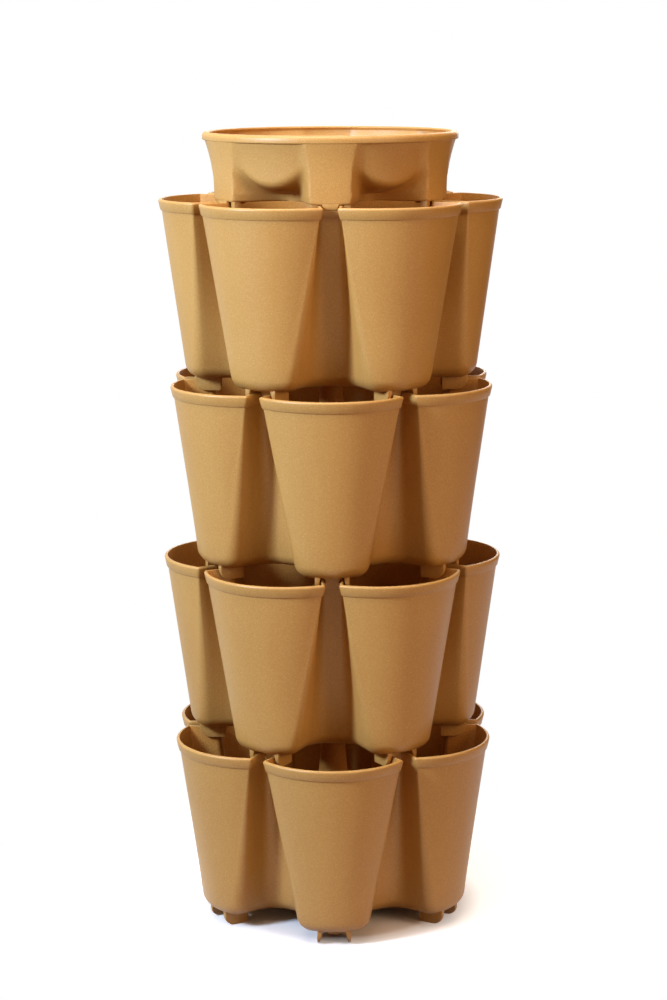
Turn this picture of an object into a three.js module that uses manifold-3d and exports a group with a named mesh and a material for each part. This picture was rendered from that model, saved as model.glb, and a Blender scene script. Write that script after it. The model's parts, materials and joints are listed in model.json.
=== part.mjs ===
// A stacking planter tower: six-pocket planter tiers, each turned half a pocket from the one below,
// a watering disk hidden between each pair of tiers, and a six-lobed water reservoir on top.
// Millimetres, +Z up. The origin is on the ground, on the tower's axis. A pocket's own frame has
// its first axis pointing outwards along the pocket and its second axis across it.
import * as THREE from 'three';
import { mergeVertices } from 'three/addons/utils/BufferGeometryUtils.js';
import Module from 'manifold-3d';

const wasm = await Module();
wasm.setup();

// The stack
const TIER_COUNT = 4;
const POCKET_COUNT = 6;
const TIER_HEIGHT = 256.5;
const BODY_GAP = 4;
const WALL = 3;
const EDGE_FILLET = 16;
const FIT_GAP = 0.3;
const OVERRUN = 4;

// Outline of a tier's wall at the rim and at the base, before the rim band and the base fillet.
// A pocket's front is an arc that ends beside the mouth of the valley between two pockets.
const RIM = {
  pocketDepth: 67.4,
  frontRadius: 108.5,
  mouthHalfWidth: 11.2,
  cornerFillet: 1.2,
  valleyReach: 160.2,
  valleyHalfWidth: 14.3,
  valleyFillet: 3.5,
};
const BASE = {
  frontRadius: 76,
  mouthHalfWidth: 48.6,
  cornerFillet: 20,
  valleyReach: 126,
  valleyHalfWidth: 24,
  valleyFillet: 30,
};

// Raised band round the rim
const BAND = {
  height: 15,
  standOut: 2.8,
  lowerStandOut: 1.8,
  innerInset: 1.7,
};

// Foot under each pocket: two tapered ribs that straddle a valley of the tier below, and a tab
// between them that stands in a notch in that valley's wall
const FOOT = {
  height: 18,
  ribRootWidth: 7,
  ribTipWidth: 3,
  ribClearance: 0.4,
  innerSetback: 14,
  outerReach: 21,
  baseOverhang: 11,
  flatLength: 20,
  tabInnerSetback: 5,
  tabThickness: 7,
  tabHeight: 9.7,
  tabClearance: 0.9,
  tabDraftShare: 0.36,
  embed: 2.9,
};

// Raised middle of a tier's floor, with the watering column on it
const CENTRE = {
  hollowRadius: 103,
  hollowTopRadius: 98,
  hollowHeight: 34,
};
const COLUMN = {
  topRadius: 12.5,
  wall: 3,
  riseAboveRim: 8,
  taperShare: 0.1,
};
const DRAIN = {
  radius: 5,
  outsideCentre: 37,
};

// Watering disk, which lies on top of a column inside the tier above
const DISK = {
  sideClearance: 3,
  height: 13,
  wall: 2.5,
  standpipeHeight: 6,
  dripRadius: 2,
  dripSetback: 25,
  dripCount: 6,
};
const SPIGOT = {
  length: 12,
  clearance: 0.5,
  wall: 2,
};

// Water reservoir: lobes over the valleys of the top tier, scooped in between them
const RESERVOIR = {
  bodyGap: 1,
  bodyHeight: 76.5,
  lobeTopReach: 168,
  lobeBottomReach: 164.5,
  lobeTopHalfWidth: 38,
  lobeBottomHalfWidth: 28,
  scoopTopRadius: 166,
  scoopBottomRadius: 98,
  lobeRounding: 16,
  scoopRounding: 34,
  edgeFillet: 8,
  ribSetback: 5,
  ribRootWidth: 10,
  ribTipWidth: 7,
  tabSetback: 1.5,
  beadRadius: 170.4,
  beadHeight: 10.7,
  beadWidth: 8.5,
  beadChamfer: 1.5,
  centreRadius: 60,
  centreTopRadius: 56,
  centreHeight: 20,
  outletRadius: 4,
};
// Height up the reservoir's body, and how far the scoop has come out there
const SCOOP_SHARES = [[0, 0], [0.12, 0.06], [0.2, 0.3], [0.33, 0.66], [0.5, 0.9], [1, 1]];
// Where the points of the reservoir's outline lie, from a lobe's middle to the middle of a scoop
const LOBE_ANGLE_SHARES = [0, 0.2, 0.33, 0.42, 0.52, 0.68, 1];

// How much of the room beside a valley corner its fillet may take
const VALLEY_ROOM_SHARE = 0.95;

// How finely round shapes are divided
const FRONT_STEPS = 3;
const CORNER_STEPS = 2;
const VALLEY_STEPS = 1;
const OUTER_FILLET_STEPS = 2;
const INNER_FILLET_STEPS = 1;
const RIB_STEPS = 2;
const COLUMN_SIDES = 16;
const CENTRE_SIDES = 24;
const HOLE_SIDES = 6;

// Places that follow from the sizes above
const HALF_POCKET = Math.PI / POCKET_COUNT;
const SEAT_DEPTH = FOOT.height - BODY_GAP;
const PITCH = TIER_HEIGHT - SEAT_DEPTH;
const COLUMN_TOP = TIER_HEIGHT + COLUMN.riseAboveRim;
const HOLLOW_TOP = FOOT.height + CENTRE.hollowHeight;
const BORE_TOP_RADIUS = COLUMN.topRadius - COLUMN.wall;
const VALLEY_FACE = RIM.valleyReach + BAND.standOut;
const VALLEY_INSIDE = RIM.valleyHalfWidth + BAND.innerInset;
const FOOT_INNER = VALLEY_FACE - FOOT.innerSetback;
const FOOT_OUTER = VALLEY_FACE + FOOT.outerReach;
const TAB_INNER = VALLEY_FACE - FOOT.tabInnerSetback;
const TAB_BOTTOM = FOOT.height - FOOT.tabHeight;
const TAB_RIM_HALF_WIDTH = RIM.valleyHalfWidth - BAND.standOut - FOOT.tabClearance;
const SPIGOT_RADIUS = BORE_TOP_RADIUS - SPIGOT.clearance;
const RIM_SECTION = { ...RIM, reach: RIM.valleyReach + RIM.pocketDepth };
const BASE_SECTION = { ...BASE, reach: FOOT_OUTER + FOOT.baseOverhang };

// Solids
function solid(geometry) {
  const bare = geometry.clone();
  bare.deleteAttribute('normal');
  bare.deleteAttribute('uv');
  const merged = mergeVertices(bare);
  const vertProperties = new Float32Array(merged.attributes.position.array);
  const index = merged.index.array;
  const triangles = [];
  let volume = 0;
  for (let i = 0; i < index.length; i += 3) {
    const [a, b, c] = [index[i], index[i + 1], index[i + 2]];
    if (a === b || b === c || c === a) continue;
    triangles.push(a, b, c);
    const [p, q, r] = [a, b, c].map((k) => new THREE.Vector3().fromArray(vertProperties, k * 3));
    volume += p.dot(q.cross(r));
  }
  if (volume < 0) {
    triangles.reverse();
  }
  const triVerts = new Uint32Array(triangles);
  return new wasm.Manifold(new wasm.Mesh({ numProp: 3, vertProperties, triVerts }));
}

function meshOf(shape, name, material) {
  const { vertProperties, triVerts, numProp } = shape.getMesh();
  const positions = new Float32Array((vertProperties.length / numProp) * 3);
  for (let i = 0; i < positions.length / 3; i += 1) {
    positions.set(vertProperties.subarray(i * numProp, i * numProp + 3), i * 3);
  }
  const geometry = new THREE.BufferGeometry();
  geometry.setAttribute('position', new THREE.BufferAttribute(positions, 3));
  geometry.setIndex(Array.from(triVerts));
  geometry.computeVertexNormals();
  const mesh = new THREE.Mesh(geometry, material);
  mesh.name = name;
  return mesh;
}

// A closed solid through rings of points that match one for one, with flat caps at both ends
function loft(rings) {
  const count = rings[0].length;
  const positions = rings.flat().flatMap((point) => [point.x, point.y, point.z]);
  const index = [];
  for (let level = 0; level + 1 < rings.length; level += 1) {
    for (let i = 0; i < count; i += 1) {
      const [a, b] = [level * count + i, level * count + ((i + 1) % count)];
      index.push(a, b, b + count, a, b + count, a + count);
    }
  }
  const [first, last] = [rings[0], rings[rings.length - 1]];
  const top = (rings.length - 1) * count;
  flatCap(first).forEach(([a, b, c]) => index.push(a, c, b));
  flatCap(last).forEach(([a, b, c]) => index.push(top + a, top + b, top + c));
  const geometry = new THREE.BufferGeometry();
  geometry.setAttribute('position', new THREE.Float32BufferAttribute(positions, 3));
  geometry.setIndex(index);
  return solid(geometry);
}

// Triangles over a flat ring, turned the way that the ring itself runs round the loft's axis
function flatCap(ring) {
  const normal = new THREE.Vector3();
  ring.forEach((point, i) => normal.add(point.clone().cross(ring[(i + 1) % ring.length])));
  const size = [Math.abs(normal.x), Math.abs(normal.y), Math.abs(normal.z)];
  const drop = size.indexOf(Math.max(...size));
  const flat = ring.map((point) => {
    const [x, y, z] = point.toArray();
    return [new THREE.Vector2(y, z), new THREE.Vector2(z, x), new THREE.Vector2(x, y)][drop];
  });
  const faces = THREE.ShapeUtils.triangulateShape(flat, []);
  const covered = faces.reduce((sum, face) => sum + THREE.ShapeUtils.area(face.map((i) => flat[i])), 0);
  const agrees = covered > 0 === THREE.ShapeUtils.area(flat) > 0;
  return agrees ? faces : faces.map(([a, b, c]) => [a, c, b]);
}

function cone(bottomRadius, bottom, topRadius, top, sides) {
  const geometry = new THREE.CylinderGeometry(topRadius, bottomRadius, top - bottom, sides);
  geometry.rotateX(Math.PI / 2);
  geometry.translate(0, 0, (bottom + top) / 2);
  return solid(geometry);
}

function rod(radius, bottom, top, sides, x = 0) {
  return cone(radius, bottom, radius, top, sides).translate([x, 0, 0]);
}

function block(inner, outer, halfWidth, bottom, top) {
  const geometry = new THREE.BoxGeometry(outer - inner, halfWidth * 2, top - bottom);
  geometry.translate((inner + outer) / 2, 0, (bottom + top) / 2);
  return solid(geometry);
}

// One copy of a shape in each pocket, or over each valley with a first angle of half a pocket
function aroundAxis(shape, firstAngle = 0) {
  const copies = [];
  for (let i = 0; i < POCKET_COUNT; i += 1) {
    const angle = firstAngle + i * HALF_POCKET * 2;
    copies.push(shape.rotate([0, 0, THREE.MathUtils.radToDeg(angle)]));
  }
  return wasm.Manifold.union(copies);
}

// Outlines
function arcPoints(centre, from, to, steps) {
  const start = from.clone().sub(centre);
  const radius = start.length();
  const startAngle = start.angle();
  let turn = to.clone().sub(centre).angle() - startAngle;
  turn = THREE.MathUtils.euclideanModulo(turn + Math.PI, Math.PI * 2) - Math.PI;
  const points = [];
  for (let i = 0; i <= steps; i += 1) {
    const angle = startAngle + (turn * i) / steps;
    points.push(new THREE.Vector2(Math.cos(angle), Math.sin(angle)).multiplyScalar(radius).add(centre));
  }
  return points;
}

// How far along a line from a point to go, in either sense, to meet a circle: the nearer answer
function toCircle(point, direction, centre, radius) {
  const offset = point.clone().sub(centre);
  const half = offset.dot(direction);
  const root = Math.sqrt(Math.max(0, half * half - offset.lengthSq() + radius * radius));
  return Math.abs(root - half) < Math.abs(-root - half) ? root - half : -root - half;
}

// Half of a pocket's outline, from the middle of its front to the middle of the valley beside it,
// with every wall moved outwards by the given amount
function halfOutline(section, outward) {
  const centre = new THREE.Vector2(section.reach - section.frontRadius, 0);
  const frontRadius = section.frontRadius + outward;
  const radial = new THREE.Vector2(Math.cos(HALF_POCKET), Math.sin(HALF_POCKET));
  const across = new THREE.Vector2(radial.y, -radial.x);
  const beside = centre.dot(across) - section.mouthHalfWidth;
  const along = centre.dot(radial) + Math.sqrt(section.frontRadius ** 2 - beside ** 2);
  const corner = radial.clone().multiplyScalar(along);
  corner.addScaledVector(across, section.mouthHalfWidth);
  const valley = radial.clone().multiplyScalar(section.valleyReach);
  valley.addScaledVector(across, section.valleyHalfWidth);
  const side = valley.clone().sub(corner).normalize();
  const out = new THREE.Vector2(-side.y, side.x);
  if (out.y < 0) {
    out.negate();
  }
  const sidePoint = corner.clone().addScaledVector(out, outward);
  const valleyReach = section.valleyReach + outward;
  const toValley = (valleyReach - sidePoint.dot(radial)) / side.dot(radial);
  const valleyCorner = sidePoint.clone().addScaledVector(side, toValley);
  const valleyMiddle = radial.clone().multiplyScalar(valleyReach);

  const cornerFillet = Math.max(section.cornerFillet + outward, WALL / 2);
  const filletLine = sidePoint.clone().addScaledVector(out, -cornerFillet);
  const step = toCircle(filletLine, side, centre, frontRadius - cornerFillet);
  const filletCentre = filletLine.clone().addScaledVector(side, step);
  const frontEnd = filletCentre.clone().sub(centre).setLength(frontRadius).add(centre);
  const sideStart = filletCentre.clone().addScaledVector(out, cornerFillet);

  const back = sideStart.clone().sub(valleyCorner);
  const inward = valleyMiddle.clone().sub(valleyCorner);
  const room = Math.min(back.length(), inward.length());
  back.normalize();
  inward.normalize();
  const halfAngle = Math.acos(THREE.MathUtils.clamp(back.dot(inward), -1, 1)) / 2;
  const wanted = Math.max(section.valleyFillet - outward, WALL / 2) / Math.tan(halfAngle);
  const tangent = Math.min(wanted, room * VALLEY_ROOM_SHARE);
  const bisector = back.clone().add(inward).normalize();
  const valleyCentre = valleyCorner.clone().addScaledVector(bisector, tangent / Math.cos(halfAngle));
  const valleyStart = valleyCorner.clone().addScaledVector(back, tangent);
  const valleyEnd = valleyCorner.clone().addScaledVector(inward, tangent);

  const frontMiddle = new THREE.Vector2(centre.x + frontRadius, 0);
  return [
    ...arcPoints(centre, frontMiddle, frontEnd, FRONT_STEPS).slice(0, -1),
    ...arcPoints(filletCentre, frontEnd, sideStart, CORNER_STEPS),
    ...arcPoints(valleyCentre, valleyStart, valleyEnd, VALLEY_STEPS),
    valleyMiddle,
  ];
}

// A half outline mirrored and repeated for every pocket, at one height
function fullRing(half, z) {
  const mirrored = half.slice(1, -1).reverse().map((point) => new THREE.Vector2(point.x, -point.y));
  const pocket = [...mirrored, ...half];
  const ring = [];
  for (let i = 0; i < POCKET_COUNT; i += 1) {
    const angle = i * HALF_POCKET * 2;
    const turned = pocket.map((point) => point.clone().rotateAround(new THREE.Vector2(), angle));
    ring.push(...turned.map((point) => new THREE.Vector3(point.x, point.y, z)));
  }
  return ring;
}

// The wall's outline at a height, between the base's and the rim's
function wallRing(z, outward) {
  const share = (z - FOOT.height) / (TIER_HEIGHT - FOOT.height);
  const section = {};
  Object.keys(BASE_SECTION).forEach((key) => {
    section[key] = THREE.MathUtils.lerp(BASE_SECTION[key], RIM_SECTION[key], share);
  });
  return fullRing(halfOutline(section, outward), z);
}

// Rings of a rounded bottom edge that starts flat at a height and ends at the given outward move
function filletRings(bottom, radius, outward, steps) {
  const rings = [];
  for (let i = 0; i <= steps; i += 1) {
    const angle = (i * Math.PI) / 2 / steps;
    const inset = radius * (1 - Math.sin(angle));
    rings.push(wallRing(bottom + radius * (1 - Math.cos(angle)), outward - inset));
  }
  return rings;
}

// Feet, standing at height zero. A rib's inner face clears the wall that the rib hangs beside.
function footRib(outer, top, rootWidth, tipWidth) {
  const flatEnd = Math.min(FOOT_INNER + FOOT.flatLength, outer);
  const profile = [[FOOT_INNER, top], [FOOT_INNER, 0]];
  for (let i = 0; i <= RIB_STEPS; i += 1) {
    const angle = (i * Math.PI) / 2 / RIB_STEPS;
    const x = flatEnd + (outer - flatEnd) * Math.sin(angle);
    profile.push([x, SEAT_DEPTH * (1 - Math.cos(angle))]);
  }
  profile.push([outer, top]);
  const draft = (rootWidth - tipWidth) / FOOT.height;
  const inner = (z) => VALLEY_INSIDE + FOOT.ribClearance + draft * (SEAT_DEPTH - z);
  const outside = inner(FOOT.height) + rootWidth;
  return loft([
    profile.map(([x, z]) => new THREE.Vector3(x, inner(z), z)),
    profile.map(([x, z]) => new THREE.Vector3(x, outside, z)),
  ]);
}

function tabHalfWidth(z) {
  return TAB_RIM_HALF_WIDTH + FOOT.tabDraftShare * (z - SEAT_DEPTH);
}

function footTab(outer, top) {
  const [low, high] = [tabHalfWidth(TAB_BOTTOM), tabHalfWidth(top)];
  const outline = [[low, TAB_BOTTOM], [high, top], [-high, top], [-low, TAB_BOTTOM]];
  const face = (x) => outline.map(([y, z]) => new THREE.Vector3(x, y, z));
  return loft([face(TAB_INNER), face(outer)]);
}

function foot(rib, tab) {
  return wasm.Manifold.union([rib, rib.mirror([0, 1, 0]), tab]);
}

// A planter tier, standing on its feet at height zero, with its first pocket along +X
function planterTier() {
  const bandBottom = TIER_HEIGHT - BAND.height;
  const outside = loft([
    ...filletRings(FOOT.height, EDGE_FILLET, 0, OUTER_FILLET_STEPS),
    wallRing(bandBottom, 0),
    wallRing(bandBottom, BAND.lowerStandOut),
    wallRing(TIER_HEIGHT, BAND.standOut),
  ]);
  const innerFillet = Math.max(EDGE_FILLET - WALL, WALL);
  const inside = loft([
    ...filletRings(FOOT.height + WALL, innerFillet, -WALL, INNER_FILLET_STEPS),
    wallRing(TIER_HEIGHT, -BAND.innerInset),
    wallRing(TIER_HEIGHT + OVERRUN, -BAND.innerInset),
  ]);

  const humpTop = HOLLOW_TOP + WALL;
  const taper = (z) => BORE_TOP_RADIUS + COLUMN.taperShare * (COLUMN_TOP - z);
  const humpRadius = CENTRE.hollowRadius + WALL;
  const humpTopRadius = CENTRE.hollowTopRadius + WALL;
  const hump = cone(humpRadius, FOOT.height, humpTopRadius, humpTop, CENTRE_SIDES);
  const columnRadius = taper(HOLLOW_TOP) + COLUMN.wall;
  const column = cone(columnRadius, HOLLOW_TOP, COLUMN.topRadius, COLUMN_TOP, COLUMN_SIDES);
  const hollowSlope = (CENTRE.hollowRadius - CENTRE.hollowTopRadius) / CENTRE.hollowHeight;
  const hollowBottom = FOOT.height - OVERRUN;
  const hollowMouth = CENTRE.hollowRadius + hollowSlope * OVERRUN;
  const hollow = cone(hollowMouth, hollowBottom, CENTRE.hollowTopRadius, HOLLOW_TOP, CENTRE_SIDES);
  const boreBottom = HOLLOW_TOP - OVERRUN;
  const boreTop = COLUMN_TOP + OVERRUN;
  const bore = cone(taper(boreBottom), boreBottom, taper(boreTop), boreTop, COLUMN_SIDES);

  const aboveRim = TIER_HEIGHT + OVERRUN;
  const notchBottom = PITCH + TAB_BOTTOM - FIT_GAP;
  const notchInner = RIM.valleyReach - BAND.innerInset - OVERRUN;
  const notchHalfWidth = tabHalfWidth(SEAT_DEPTH) + FOOT.tabClearance;
  const notch = block(notchInner, VALLEY_FACE + OVERRUN, notchHalfWidth, notchBottom, aboveRim);
  const footTop = FOOT.height + FOOT.embed;
  const rib = footRib(FOOT_OUTER, footTop, FOOT.ribRootWidth, FOOT.ribTipWidth);
  const pocketFoot = foot(rib, footTab(TAB_INNER + FOOT.tabThickness, footTop));
  const drainCentre = CENTRE.hollowRadius + DRAIN.outsideCentre;
  const drainTop = FOOT.height + WALL + OVERRUN;
  const drain = rod(DRAIN.radius, FOOT.height - OVERRUN, drainTop, HOLE_SIDES, drainCentre);

  return outside
    .subtract(inside.subtract(hump))
    .subtract(aroundAxis(notch, HALF_POCKET))
    .add(column)
    .add(aroundAxis(pocketFoot))
    .subtract(hollow)
    .subtract(bore)
    .subtract(aroundAxis(drain));
}

// A watering disk, with the underside of its floor at height zero
function wateringDisk() {
  const radius = CENTRE.hollowTopRadius - DISK.sideClearance;
  const pipeTop = DISK.wall + DISK.standpipeHeight;
  const dish = rod(radius, 0, DISK.height, CENTRE_SIDES);
  const tray = rod(radius - DISK.wall, DISK.wall, DISK.height + OVERRUN, CENTRE_SIDES);
  const pipe = rod(SPIGOT_RADIUS, -SPIGOT.length, pipeTop, COLUMN_SIDES);
  const boreRadius = SPIGOT_RADIUS - SPIGOT.wall;
  const bore = rod(boreRadius, -SPIGOT.length - OVERRUN, pipeTop + OVERRUN, COLUMN_SIDES);
  const dripCentre = radius - DISK.dripSetback;
  const drip = rod(DISK.dripRadius, -OVERRUN, DISK.wall + OVERRUN, HOLE_SIDES, dripCentre);
  const drips = [];
  for (let i = 0; i < DISK.dripCount; i += 1) {
    drips.push(drip.rotate([0, 0, (360 * i) / DISK.dripCount]));
  }
  return dish.subtract(tray).add(pipe).subtract(bore).subtract(wasm.Manifold.union(drips));
}

// The water reservoir
function smoothMin(a, b, rounding) {
  const blend = Math.max(rounding - Math.abs(a - b), 0) / rounding;
  return Math.min(a, b) - (blend * blend * rounding) / 4;
}

function bowlRing(height, z, inset) {
  const { clamp, lerp } = THREE.MathUtils;
  const share = clamp(height / RESERVOIR.bodyHeight, 0, 1);
  const place = SCOOP_SHARES.findIndex(([level]) => level >= share);
  const [levelB, scoopB] = SCOOP_SHARES[place];
  const [levelA, scoopA] = SCOOP_SHARES[Math.max(place - 1, 0)];
  const part = levelB === levelA ? 0 : (share - levelA) / (levelB - levelA);
  const scoopShare = lerp(scoopA, scoopB, part);
  const scoop = lerp(RESERVOIR.scoopBottomRadius, RESERVOIR.scoopTopRadius, scoopShare) - inset;
  const below = Math.max(RESERVOIR.edgeFillet - height, 0);
  const edge = RESERVOIR.edgeFillet - Math.sqrt(Math.max(RESERVOIR.edgeFillet ** 2 - below ** 2, 0));
  const reach = lerp(RESERVOIR.lobeBottomReach, RESERVOIR.lobeTopReach, share) - inset - edge;
  const fullHalfWidth = lerp(RESERVOIR.lobeBottomHalfWidth, RESERVOIR.lobeTopHalfWidth, share);
  const halfWidth = fullHalfWidth - inset - edge;
  const rounding = Math.max(Math.min(RESERVOIR.scoopRounding, reach - scoop), WALL);
  return polarRing(z, (angle) => {
    const side = angle === 0 ? Infinity : halfWidth / Math.sin(angle);
    const lobe = smoothMin(reach, side, RESERVOIR.lobeRounding);
    return -smoothMin(-lobe, -scoop, rounding);
  });
}

function polarRing(z, radiusAt) {
  const half = LOBE_ANGLE_SHARES.map((share) => {
    const angle = share * HALF_POCKET;
    return new THREE.Vector2(Math.cos(angle), Math.sin(angle)).multiplyScalar(radiusAt(angle));
  });
  return fullRing(half, z);
}

function waterReservoir() {
  const bottom = SEAT_DEPTH + RESERVOIR.bodyGap;
  const rim = bottom + RESERVOIR.bodyHeight + RESERVOIR.beadHeight;
  const beadInner = RESERVOIR.beadRadius - RESERVOIR.beadWidth;
  const circle = (z, radius) => polarRing(z, () => radius);
  const heights = SCOOP_SHARES.map(([level]) => level * RESERVOIR.bodyHeight);
  const outside = loft([
    ...heights.map((height) => bowlRing(height, bottom + height, 0)),
    circle(rim - RESERVOIR.beadHeight + RESERVOIR.beadChamfer, RESERVOIR.beadRadius),
    circle(rim, RESERVOIR.beadRadius),
  ]);
  const inside = loft([
    ...heights.map((height) => bowlRing(height, bottom + WALL + height, WALL)),
    circle(rim, beadInner),
    circle(rim + OVERRUN, beadInner),
  ]);

  const centreTop = bottom + RESERVOIR.centreHeight;
  const floorTop = centreTop + WALL;
  const { centreRadius, centreTopRadius } = RESERVOIR;
  const hump = cone(centreRadius + WALL, bottom, centreTopRadius + WALL, floorTop, CENTRE_SIDES);
  const hollow = cone(centreRadius, bottom - OVERRUN, centreTopRadius, centreTop, CENTRE_SIDES);
  const spigotBottom = COLUMN_TOP - PITCH - SPIGOT.length;
  const spigot = rod(SPIGOT_RADIUS, spigotBottom, centreTop + WALL / 2, COLUMN_SIDES);
  const boreRadius = SPIGOT_RADIUS - SPIGOT.wall;
  const spigotBore = rod(boreRadius, spigotBottom - OVERRUN, centreTop, COLUMN_SIDES);
  const outlet = rod(RESERVOIR.outletRadius, spigotBottom, floorTop + OVERRUN, COLUMN_SIDES);

  const footTop = bottom + RESERVOIR.edgeFillet;
  const ribOuter = RESERVOIR.lobeBottomReach - RESERVOIR.ribSetback;
  const rib = footRib(ribOuter, footTop, RESERVOIR.ribRootWidth, RESERVOIR.ribTipWidth);
  const lobeFoot = foot(rib, footTab(RESERVOIR.lobeBottomReach - RESERVOIR.tabSetback, footTop));
  return outside
    .add(aroundAxis(lobeFoot))
    .subtract(inside.subtract(hump))
    .subtract(hollow)
    .add(spigot)
    .subtract(spigotBore)
    .subtract(outlet);
}

// Materials
const tierPlastic = new THREE.MeshStandardMaterial({ color: 0xc8965a, roughness: 0.5, metalness: 0 });
const reservoirPlastic = new THREE.MeshStandardMaterial({ color: 0xcc9a5e, roughness: 0.5, metalness: 0 });
const diskPlastic = new THREE.MeshStandardMaterial({ color: 0x9a6a3c, roughness: 0.55, metalness: 0 });

// The tower
const tower = new THREE.Group();
const towardsViewer = -Math.PI / 2;
const tierShape = planterTier();
const diskShape = wateringDisk();
for (let level = 0; level < TIER_COUNT; level += 1) {
  const tier = meshOf(tierShape, `planter_tier_${level + 1}`, tierPlastic);
  tier.position.z = level * PITCH;
  tier.rotation.z = towardsViewer + (level % 2) * HALF_POCKET;
  tower.add(tier);
  if (level + 1 < TIER_COUNT) {
    const disk = meshOf(diskShape, `watering_disk_${level + 1}`, diskPlastic);
    disk.position.z = level * PITCH + COLUMN_TOP + FIT_GAP;
    disk.rotation.z = tier.rotation.z;
    tower.add(disk);
  }
}
const reservoir = meshOf(waterReservoir(), 'water_reservoir', reservoirPlastic);
reservoir.position.z = TIER_COUNT * PITCH;
reservoir.rotation.z = towardsViewer + (TIER_COUNT % 2) * HALF_POCKET;
tower.add(reservoir);

export default tower;
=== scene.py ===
"""Looks of a stacking planter tower, laid out as a Blender add-on.

Every piece is modelled in metres in the tower's own frame: +Z up, the origin on the ground under the
tower's axis, and -Y towards the viewer. A pocket's own frame has X outwards along the pocket and Y
across it.
"""

import json
import math

import bmesh
import bpy
from bpy.props import FloatProperty, FloatVectorProperty, PointerProperty
from mathutils import Matrix, Vector


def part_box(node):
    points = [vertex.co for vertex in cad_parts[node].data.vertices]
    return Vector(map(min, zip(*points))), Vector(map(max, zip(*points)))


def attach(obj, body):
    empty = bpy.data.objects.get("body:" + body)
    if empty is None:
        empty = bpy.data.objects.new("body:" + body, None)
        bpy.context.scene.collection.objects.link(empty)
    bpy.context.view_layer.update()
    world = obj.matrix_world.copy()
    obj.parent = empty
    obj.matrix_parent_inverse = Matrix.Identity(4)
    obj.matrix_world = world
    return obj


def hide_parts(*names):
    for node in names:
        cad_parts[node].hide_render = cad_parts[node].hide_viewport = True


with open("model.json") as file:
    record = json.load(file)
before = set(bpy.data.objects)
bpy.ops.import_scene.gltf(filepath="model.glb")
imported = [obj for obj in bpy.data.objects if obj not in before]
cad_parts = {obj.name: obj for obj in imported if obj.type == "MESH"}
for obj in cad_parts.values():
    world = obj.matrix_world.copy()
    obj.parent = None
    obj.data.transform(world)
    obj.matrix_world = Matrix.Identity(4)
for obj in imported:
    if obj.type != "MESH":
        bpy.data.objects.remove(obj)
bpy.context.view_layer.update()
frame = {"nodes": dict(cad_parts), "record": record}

bl_info = {
    "name": "Stacking planter tower",
    "version": (1, 0, 0),
    "blender": (4, 5, 0),
    "location": "3D View > Sidebar > Planter",
    "description": "Builds the tiers, watering disks and reservoir of a stacking planter tower",
    "category": "Object",
}

MM = 0.001
TIER_NODES = sorted(name for name in frame["nodes"] if name.startswith("planter_tier"))
DISK_NODES = sorted(name for name in frame["nodes"] if name.startswith("watering_disk"))
RESERVOIR_NODE = "water_reservoir"
NODE_BODY = {
    node: body for body, nodes in frame["record"]["behaviour"]["bodies"].items() for node in nodes
}
TIER_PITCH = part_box(TIER_NODES[1])[0].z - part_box(TIER_NODES[0])[0].z
COLUMN_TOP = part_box(TIER_NODES[0])[1].z
RESERVOIR_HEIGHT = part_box(RESERVOIR_NODE)[1].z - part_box(RESERVOIR_NODE)[0].z
RESERVOIR_RADIUS = -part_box(RESERVOIR_NODE)[0].y
DISK_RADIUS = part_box(DISK_NODES[0])[1].x

POCKETS = 6
HALF_POCKET = math.pi / POCKETS
TOWARDS_VIEWER = -math.pi / 2

# The stage: the floor's half side, the height that the lights point at, and the distances from the
# tower's axis over which the shadow fades, first the dark one round the feet and then the wide one
FLOOR_HALF = 40.0
TOWER_MIDDLE = 0.55
FOOT_SHADOW = (0.15, 0.21)
WIDE_SHADOW = (0.21, 0.55)

# A dark screen to the right of the tower, which the camera doesn't see
SCREEN_AZIMUTH = 105
SCREEN_DISTANCE = 2.0
SCREEN_WIDTH = 3.6
SCREEN_HEIGHT = 2.6
SCREEN_THICKNESS = 0.02

# Each light's size, its angle in degrees from the viewer's side, to the right if positive, its
# distance from the tower's axis and its height
KEY_LIGHT = {"size": (0.35, 0.5), "azimuth": -55, "distance": 2.0, "height": 1.6}
TOP_LIGHT = {"size": (1.5, 1.5), "azimuth": -20, "distance": 0.5, "height": 2.7}
FILL_LIGHT = {"size": (1.5, 1.5), "azimuth": 50, "distance": 2.5, "height": 1.4}
BACK_LIGHT = {"size": (1.2, 1.2), "azimuth": 172, "distance": 2.6, "height": 1.5}

# The camera, from a fit to the photograph, with its angles in radians
CAMERA_PLACE = (0.0012, -3.2244, 1.1972)
CAMERA_TURN = -0.0003
CAMERA_TILT_DOWN = 0.1915
CAMERA_ROLL = -0.0047
SENSOR_WIDTH = 36.0

# The plastic's soft patterns: how many features lie along a metre, how many finer layers they have,
# and how strong each finer layer is
DRIFT = {"scale": 7.0, "detail": 3.0, "roughness": 0.5}
FLOW = {"scale": 24.0, "detail": 3.0, "roughness": 0.5}
GRAIN = {"scale": 1100.0, "detail": 2.0, "roughness": 0.6}
MOTTLE = {"scale": 420.0, "detail": 3.0, "roughness": 0.7}
FLOW_STRETCH = (1.0, 1.0, 0.22)

# How much each pattern adds to the tone, the colour, the bump and the roughness, the part of its range
# over which the tone or the mottle comes in, and a pattern's middle value
TONE_DRIFT_SHARE = 0.6
TONE_FLOW_SHARE = 0.4
TONE_RANGE = (0.34, 0.66)
MOTTLE_RANGE = (0.42, 0.72)
MOTTLE_SHARE = 0.26
BUMP_GRAIN_SHARE = 0.6
BUMP_MOTTLE_SHARE = 0.4
BUMP_DEPTH = 0.3 * MM
ROUGHNESS_MOTTLE_SHARE = 0.12
ROUGHNESS_DRIFT_SHARE = 0.10
PATTERN_MIDDLE = 0.5
INNER_GRAIN_DIVISOR = 3
PLASTIC_IOR = 1.49

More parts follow.
